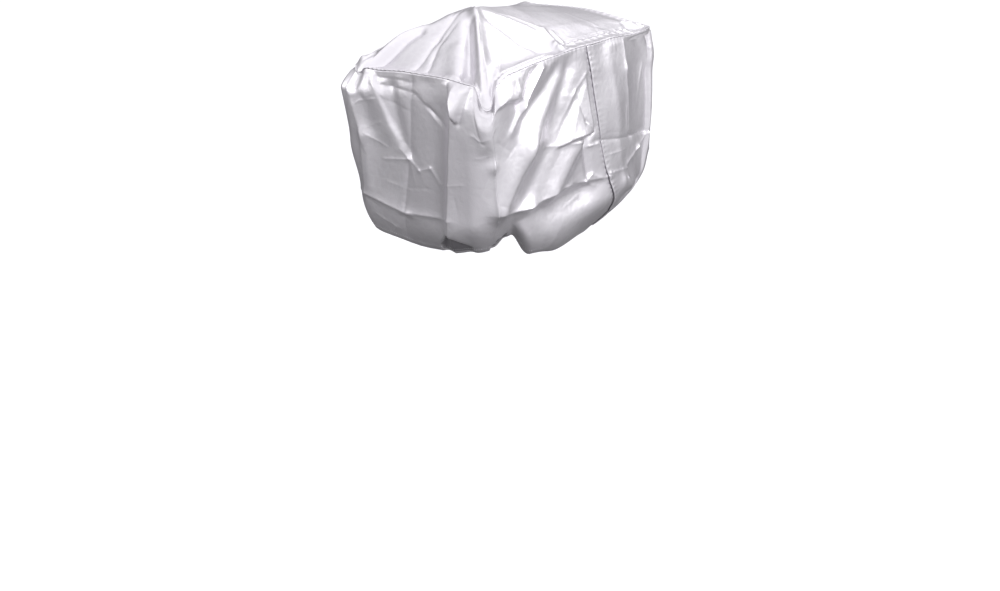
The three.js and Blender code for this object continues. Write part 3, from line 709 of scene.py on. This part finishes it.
def seam_distance(x, y):
    """Distance round the seam of the nearest point of a long side, and of a short side."""
    long_side = np.where(y < 0, x - aft_edge, length + width + front_edge - x)
    short_side = np.where(x > middle_x, length + y + half_width, girth - half_width - y)
    return long_side, short_side


def seam_rise(x, y):
    to_side = (half_width - np.abs(y)) ** 2 + 0.01
    to_end = (half_length - np.abs(x - middle_x)) ** 2 + 0.01
    long_side, short_side = seam_distance(x, y)
    return (around("rise", long_side) * to_end + around("rise", short_side) * to_side) / (to_side + to_end)


BAND_START, BAND_END, BAND_DEEP, BAND_RISE, BAND_PITCH = 186, 398, 20, 5, 22


def edge_band(x, y, inside):
    """Extra height near the seam: a puckered band forward on the near side, a narrow lip aft of it."""
    long_side, short_side = seam_distance(x, y)
    by_side = half_width - np.abs(y) < half_length - np.abs(x - middle_x)
    place = np.where(by_side, long_side, short_side)
    near = by_side * (y < 0)
    in_band = near * eased((place - BAND_START) / 14) * (1 - eased((place - BAND_END) / 16))
    on_lip = near * eased((place - 14) / 10) * (1 - eased((place - 150) / 16))
    ramp = np.clip(inside / BAND_DEEP, 0, 1)
    fade = 1 - eased((inside - BAND_DEEP) / 45)
    pleat = puckers(place + 0.25 * inside, BAND_PITCH) ** 2 - 0.5 * eased((inside - 17) / 3)
    pleats = 5 * pleat * eased(inside / 5) * (1 - eased((inside - 20) / 5))
    height = in_band * (BAND_RISE * ramp * fade + pleats)
    ripples = 1.1 * puckers(place, 7.5) * eased(inside / 2) * np.exp(-inside / 6)
    lip = on_lip * (3.4 * eased(inside / 6) * fade + ripples)
    gather = 0.55 + 0.45 * puckers(place + 3, 7.5)
    lip = lip - on_lip * 5 * gather * np.exp(-(((inside - 9) / 2.8) ** 2))
    fine = (0.9 - 0.1 * near) * (1 - 0.7 * in_band) * np.exp(-inside / 8)
    return height + lip + fine * puckers(place, 10.5)


def top_surface(x, y):
    ring = np.maximum(np.abs(x - middle_x) / half_length, np.abs(y) / half_width)
    around_x = middle_x + (x - middle_x) / np.maximum(ring, 1e-9)
    edge_x, edge_y, way_x, way_y = rounded_box(around_x, y / np.maximum(ring, 1e-9), 0, SQUARE_AT_SEAM)
    plan_x = mixed(x, mixed(middle_x, edge_x, ring), ring**5)
    plan_y = mixed(y, edge_y * ring, ring**5)
    inside = np.minimum(half_length - np.abs(x - middle_x), half_width - np.abs(y))
    height = folds_height(TOP_ROLLS, TOP_EDGES, x, y) + unevenness(x + 40, y)
    height = height * eased(inside / FOLDS_IN)
    rise = seam_rise(x, y)
    lift = mixed(rise, crown_lift(x, y), eased(inside / CROWN_IN))
    lip = 2 * SEAM_TURN + 0.05
    z = SEAM_Z + np.maximum(lift + height, rise) + edge_band(x, y, inside)
    z = z + lip * (1 - eased(inside / 12)) - CROWN_BLUNT * np.exp(-(x * x + y * y) / 200)
    hang_x, hang_y = 0 * x, 0 * x
    for droop in DROOPS:
        to_side = half_width - droop.side * y
        off_corner = x - aft_edge - to_side
        u = off_corner if droop.side < 0 else -width - off_corner
        share = droop_share(droop, u) * (x < 0) * (droop.side * y > 0)
        z = z - droop.down * share * np.clip(1 - inside / droop.reach, 0, 1) ** 1.7
        hang = eased((droop.reach - inside) / 34) - 0.4 * np.clip(1 - inside / 12, 0, 1) ** 2
        hang_x = hang_x + droop.way_x * droop.out * share * hang
        hang_y = hang_y + droop.way_y * droop.out * share * hang
    hang = np.stack([hang_x, hang_y, 0 * x], -1)
    return np.stack([plan_x, plan_y, z], -1) + hang, way_x, way_y, hang


# %% Top panel mesh
TOP_COLUMNS, TOP_ROWS = 290, 176
LIP_STEPS = 6


def make_top_panel():
    piece, column, row = cloth_grid("top_cloth", TOP_COLUMNS, TOP_ROWS)
    x = mixed(aft_edge, front_edge, column / (TOP_COLUMNS - 1))
    y = mixed(-half_width, half_width, row / (TOP_ROWS - 1))
    x = x - 4 * np.sin(2 * np.pi * (x - aft_edge) / length)
    y = y - 4 * np.sin(2 * np.pi * (y + half_width) / width)
    points, way_x, way_y, hang = top_surface(x, y)
    rim = (column == 0) | (column == TOP_COLUMNS - 1) | (row == 0) | (row == TOP_ROWS - 1)
    turns = [(SEAM_TURN * math.sin(math.radians(turn)), SEAM_TURN * (math.cos(math.radians(turn)) - 1))
             for turn in (30, 60, 90, 120, 150, 180)]
    turns = [(out - SEAM_TURN, down) for out, down in turns]
    turns += [(-2 * SEAM_TURN - 0.4, -2 * SEAM_TURN - down) for down in (1, 4, SEAM_ALLOWANCE)]
    bm = bmesh.new()
    bm.from_mesh(piece.data)
    bm.verts.ensure_lookup_table()
    cloth = list(np.stack([x, y], -1))
    places = list(points - np.stack([way_x, way_y, 0 * x], -1) * (SEAM_TURN * rim)[:, None])
    parent = list(range(len(places)))
    edge = [side for side in bm.edges if side.is_boundary]
    for step, (out, down) in enumerate(turns):
        grown = bmesh.ops.extrude_edge_only(bm, edges=edge)["geom"]
        edge = [side for side in grown if isinstance(side, bmesh.types.BMEdge) and side.is_boundary]
        bm.verts.ensure_lookup_table()
        bm.verts.index_update()
        known = len(places)
        for vert in bm.verts[known:]:
            near = [side.other_vert(vert) for side in vert.link_edges]
            source = next(other for other in near if other.index < known)
            root = parent[source.index]
            parent.append(root)
            off = Vector((way_x[root], way_y[root], 0)) * out
            back = hang[root] if step >= LIP_STEPS else 0
            places.append(points[root] - back + np.array([off.x, off.y, down]))
            cloth.append(cloth[root] - down * np.array([way_x[root], way_y[root]]))
    bm.to_mesh(piece.data)
    bm.free()
    cloth = np.array(cloth)
    return place_points(piece, np.array(places), cloth[:, 0], cloth[:, 1])


top_panel = make_top_panel()
print("top panel has", len(top_panel.data.polygons), "faces")

# %% [markdown]
# ## Stitches
# One row of stitches holds the closing seam's lap and one the hem, as on most sewn covers. Each stitch is a
# short bead of thread, half sunk in the cloth, and it lies along its row on the finished surface. One bead
# is made with an operator and then repeated, because making hundreds one by one takes far longer.

# %% Stitches of the closing seam and the hem
STITCH_PITCH, STITCH_LONG, STITCH_THICK = 3.8, 2.7, 0.45
CLOSING_ROW, HEM_ROW = 4, 8


def outer_face(place, fraction):
    points, way_x, way_y = skirt_surface(place, fraction)
    out = lap_height(place)
    return points + np.stack([way_x * out, way_y * out, 0 * out], -1)


def one_bead():
    """The corners and faces of one stitch, along X."""
    bm = bmesh.new()
    bmesh.ops.create_uvsphere(bm, u_segments=6, v_segments=5, radius=0.5)
    bm.verts.index_update()
    corners = np.array([tuple(vert.co) for vert in bm.verts])
    faces = [[vert.index for vert in face.verts] for face in bm.faces]
    bm.free()
    return corners * (STITCH_LONG, STITCH_THICK, STITCH_THICK), faces


def stitch_row(place, fraction, step_place, step_fraction):
    """Corners of beads at places on the skirt, each lying along the way to the next."""
    middle = outer_face(place, fraction)
    along = outer_face(place + step_place, fraction + step_fraction) - middle
    across = outer_face(place + step_fraction * USUAL_DROP, fraction + step_place / USUAL_DROP) - middle
    along = along / np.linalg.norm(along, axis=1)[:, None]
    out = np.cross(along, across)
    out = out / np.linalg.norm(out, axis=1)[:, None]
    turn = np.stack([along, np.cross(out, along), out], 1)
    return middle[:, None] + np.einsum("ck,nkx->ncx", one_bead()[0], turn)


def make_stitches():
    down = np.arange(0.02, 0.955, STITCH_PITCH / 290)
    seam_row = stitch_row(CLOSING_SEAM + CLOSING_ROW + 0 * down, down, 0, 0.004)
    round_hem = np.arange(CLOSING_SEAM + 8, CLOSING_SEAM + girth, STITCH_PITCH)
    hem_row = stitch_row(round_hem, 1 - HEM_ROW / around("drop", round_hem), 1, 0)
    beads = np.concatenate([seam_row, hem_row]) * MM
    count, corners, _ = beads.shape
    one = one_bead()[1]
    faces = [[corner + bead * corners for corner in face] for bead in range(count) for face in one]
    mesh = bpy.data.meshes.new("stitches")
    mesh.from_pydata(beads.reshape(-1, 3).tolist(), [], faces)
    mesh.polygons.foreach_set("use_smooth", [True] * len(mesh.polygons))
    piece = bpy.data.objects.new("stitches", mesh)
    bpy.context.scene.collection.objects.link(piece)
    return piece


stitches = make_stitches()
print("stitches have", len(stitches.data.polygons), "faces")

# %% The pieces in the frame
for piece in (skirt, top_panel, stitches):
    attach(piece, "root")
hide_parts("skirt")
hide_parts("top_panel")

# %% [markdown]
# ## Silver coating
# The coating is a thin satin metal on a woven cloth: mostly metallic and fairly rough, a little lilac, with
# a fine weave that follows the cloth's own UV map. Small scuffs make it paler here and there. In the hem's
# pockets a dark, non-metal colour is painted shade, and an attribute on the skirt's points says where it
# lies.

# %% Shader maths
class Wire:
    """A socket of a node tree that can be added, multiplied and so on."""

    def __init__(self, tree, socket):
        self.tree, self.socket = tree, socket

    def node(self, kind, inputs=(), output=0, **settings):
        """A new node in the same tree, with its settings and inputs, as the wire of one output."""
        made = self.tree.nodes.new(kind)
        for key, value in settings.items():
            setattr(made, key, value)
        for key, value in dict(inputs).items():
            if isinstance(value, Wire):
                self.tree.links.new(value.socket, made.inputs[key])
            else:
                made.inputs[key].default_value = value
        return Wire(self.tree, made.outputs[output])

    def maths(self, operation, a, b=0.0):
        return self.node("ShaderNodeMath", {0: a, 1: b}, operation=operation)

    def __add__(self, other):
        return self.maths("ADD", self, other)

    def __radd__(self, other):
        return self.maths("ADD", other, self)

    def __sub__(self, other):
        return self.maths("SUBTRACT", self, other)

    def __rsub__(self, other):
        return self.maths("SUBTRACT", other, self)

    def __mul__(self, other):
        return self.maths("MULTIPLY", self, other)

    def __rmul__(self, other):
        return self.maths("MULTIPLY", other, self)

    def __pow__(self, other):
        return self.maths("POWER", self, other)


def start_material(name):
    material = bpy.data.materials.new(name)
    material.use_nodes = True
    tree = material.node_tree
    shader = tree.nodes["Principled BSDF"]
    return material, Wire(tree, None), shader


# %% Silver cloth
BASE_COLOUR = (0.72, 0.70, 0.735, 1)
SCUFFED_COLOUR = (0.86, 0.85, 0.87, 1)
# painted shade: the dark, non-metal colour laid in the hem's pockets
POCKET_SHADE_COLOUR = (0.13, 0.125, 0.135, 1)
METALLIC = 0.88
THREAD = 0.0008


def silver_cloth():
    material, tree, shader = start_material("silver cloth")
    place = tree.node("ShaderNodeTexCoord", output="Object")
    cloth = tree.node("ShaderNodeUVMap", uv_map="cloth")
    broad = tree.node("ShaderNodeTexNoise", {"Vector": place, "Scale": 9, "Detail": 3})
    fine = tree.node("ShaderNodeTexNoise", {"Vector": place, "Scale": 160, "Detail": 4})
    crushed = tree.node("ShaderNodeTexVoronoi", {"Vector": place, "Scale": 70}, feature="DISTANCE_TO_EDGE")
    scuffed = tree.maths("SMOOTH_MIN", crushed, 0.16) * -5.5 + 0.88
    scuffed = tree.maths("MAXIMUM", scuffed, 0.0) * tree.maths("GREATER_THAN", broad, 0.5) * 0.25
    colour = tree.node(
        "ShaderNodeMix", {"Factor": scuffed, "A": BASE_COLOUR, "B": SCUFFED_COLOUR}, output="Result",
        data_type="RGBA")
    # painted shade: the pocket mark mixes in the dark colour and takes the metal away
    painted_pocket_shade = tree.node("ShaderNodeAttribute", output="Fac", attribute_name="painted_pocket_shade")
    colour = tree.node(
        "ShaderNodeMix", {"Factor": painted_pocket_shade, "A": colour, "B": POCKET_SHADE_COLOUR}, output="Result",
        data_type="RGBA")
    tree.tree.links.new(colour.socket, shader.inputs["Base Color"])
    metallic = METALLIC - painted_pocket_shade * METALLIC
    tree.tree.links.new(metallic.socket, shader.inputs["Metallic"])
    rough = 0.33 + broad * 0.1 + fine * 0.06
    tree.tree.links.new(rough.socket, shader.inputs["Roughness"])
    warp = tree.maths("SINE", tree.node("ShaderNodeSeparateXYZ", {0: cloth}, "X") * (2 * math.pi / THREAD))
    weft = tree.maths("SINE", tree.node("ShaderNodeSeparateXYZ", {0: cloth}, "Y") * (2 * math.pi / THREAD))
    height = fine * 0.0004 + crushed * 0.0006 + (warp * weft) * 0.00002
    relief = {"Strength": 0.5, "Distance": 1.0, "Height": height}
    bump = tree.node("ShaderNodeBump", relief, output="Normal")
    tree.tree.links.new(bump.socket, shader.inputs["Normal"])
    return material


silver = silver_cloth()
for piece in (skirt, top_panel, stitches):
    piece.data.materials.append(silver)
print("silver cloth made")

# %% [markdown]
# ## Sheets
# The two sheets are the skirt and the top panel; no flat size or area is given for them here. They were
# measured on the finished sheets, allowances included, so they describe the meshes and don't test them.

# %% Sheets
print("two sheets: the skirt and the top panel")

# %% [markdown]
# ## Floor
# A plain pale floor lies well below the cover, as far down as the ground under a boat on its trailer. It
# only shows to the camera: it takes no part in the cloth's reflections or its shade,
# because the sky made below already holds a darker ground for them.

# %% Floor
FLOOR_Z = -1.5
bm = bmesh.new()
bmesh.ops.create_grid(bm, x_segments=1, y_segments=1, size=20, matrix=Matrix.Translation((0, 0, FLOOR_Z)))
floor_mesh = bpy.data.meshes.new("floor")
bm.to_mesh(floor_mesh)
bm.free()
floor = bpy.data.objects.new("floor", floor_mesh)
bpy.context.scene.collection.objects.link(floor)
pale, _, pale_shader = start_material("pale floor")
pale_shader.inputs["Base Color"].default_value = (0.93, 0.93, 0.94, 1)
pale_shader.inputs["Roughness"].default_value = 0.9
floor_mesh.materials.append(pale)
floor.visible_glossy = False
floor.visible_diffuse = False
floor.visible_shadow = False
print("floor at", FLOOR_Z, "m")

# %% [markdown]
# ## Light
# Satin metal shows the lights more than its own colour. A broad light overhead whitens the slopes of the
# top, one to the right of the camera lights the long side, and the aft face is left to a greyer sky.

# %% Lights and sky
def area_light(name, place, target, size, watts):
    lamp = bpy.data.lights.new(name, "AREA")
    lamp.shape = "RECTANGLE"
    lamp.size, lamp.size_y = size
    lamp.energy = watts
    light = bpy.data.objects.new(name, lamp)
    back = (Vector(place) - Vector(target)).normalized()
    light.matrix_world = Matrix.Translation(place) @ back.to_track_quat("Z", "Y").to_matrix().to_4x4()
    bpy.context.scene.collection.objects.link(light)
    return light


area_light("overhead light", (1.35, 0.0, 1.15), (0.1, 0, -0.1), (0.5, 0.5), 2)
area_light("side light", (0.9, -1.7, 0.5), (0.1, 0, -0.2), (0.8, 0.8), 14)
area_light("left light", (-1.5, 1.1, 0.42), (0, 0, -0.2), (0.45, 0.45), 4)

ROOM_LOW, ROOM_SIDE, ROOM_HIGH, ROOM_BACK, ROOM_LEFT = 0.3, 0.62, 1.45, 0.7, 0.6


def make_sky():
    """Pale to the camera, and to the cloth a room that is bright above and darker low and behind."""
    world = bpy.data.worlds.new("sky")
    world.use_nodes = True
    tree = Wire(world.node_tree, None)
    way = tree.node("ShaderNodeTexCoord", output="Generated")
    near_way = {0: way, 1: (-0.34, -0.94, 0.0)}
    right = tree.node("ShaderNodeVectorMath", near_way, "Value", operation="DOT_PRODUCT")
    up = tree.node("ShaderNodeSeparateXYZ", {0: way}, "Z")
    soft = {"interpolation_type": "SMOOTHSTEP"}
    by_side = tree.node("ShaderNodeMapRange", {"Value": right, "From Min": -0.35, "From Max": 1.0})
    by_rise = tree.node("ShaderNodeMapRange", {"Value": up, "From Min": -0.22, "From Max": 0.58}, **soft)
    by_floor = tree.node("ShaderNodeMapRange", {"Value": up, "From Min": -0.9, "From Max": -0.45}, **soft)
    low = (ROOM_LOW + by_side * ROOM_SIDE) * (0.3 + 0.7 * by_floor)
    back_way = {0: way, 1: (0.85, 0.52, 0.0)}
    away = tree.node("ShaderNodeVectorMath", back_way, "Value", operation="DOT_PRODUCT")
    by_back = tree.node("ShaderNodeMapRange", {"Value": away, "From Min": 0.2, "From Max": 0.8}, **soft)
    by_top = tree.node("ShaderNodeMapRange", {"Value": up, "From Min": 0.38, "From Max": 0.68}, **soft)
    left = tree.node("ShaderNodeSeparateXYZ", {0: way}, "Y")
    by_left = tree.node("ShaderNodeMapRange", {"Value": left, "From Min": 0.3, "From Max": 0.9}, **soft)
    shade = (1 - ROOM_BACK * by_back * (1 - by_top)) * (1 - ROOM_LEFT * by_left * (0.35 + 0.65 * by_rise))
    room = (low + (ROOM_HIGH - low) * by_rise) * shade
    seen = tree.node("ShaderNodeLightPath", output="Is Camera Ray")
    strength = seen + (1 - seen) * room
    back = world.node_tree.nodes["Background"]
    back.inputs["Color"].default_value = (0.98, 0.975, 1, 1)
    world.node_tree.links.new(strength.socket, back.inputs["Strength"])
    return world


bpy.context.scene.world = make_sky()
bpy.context.scene.view_settings.view_transform = "Standard"
print("lights and sky made")
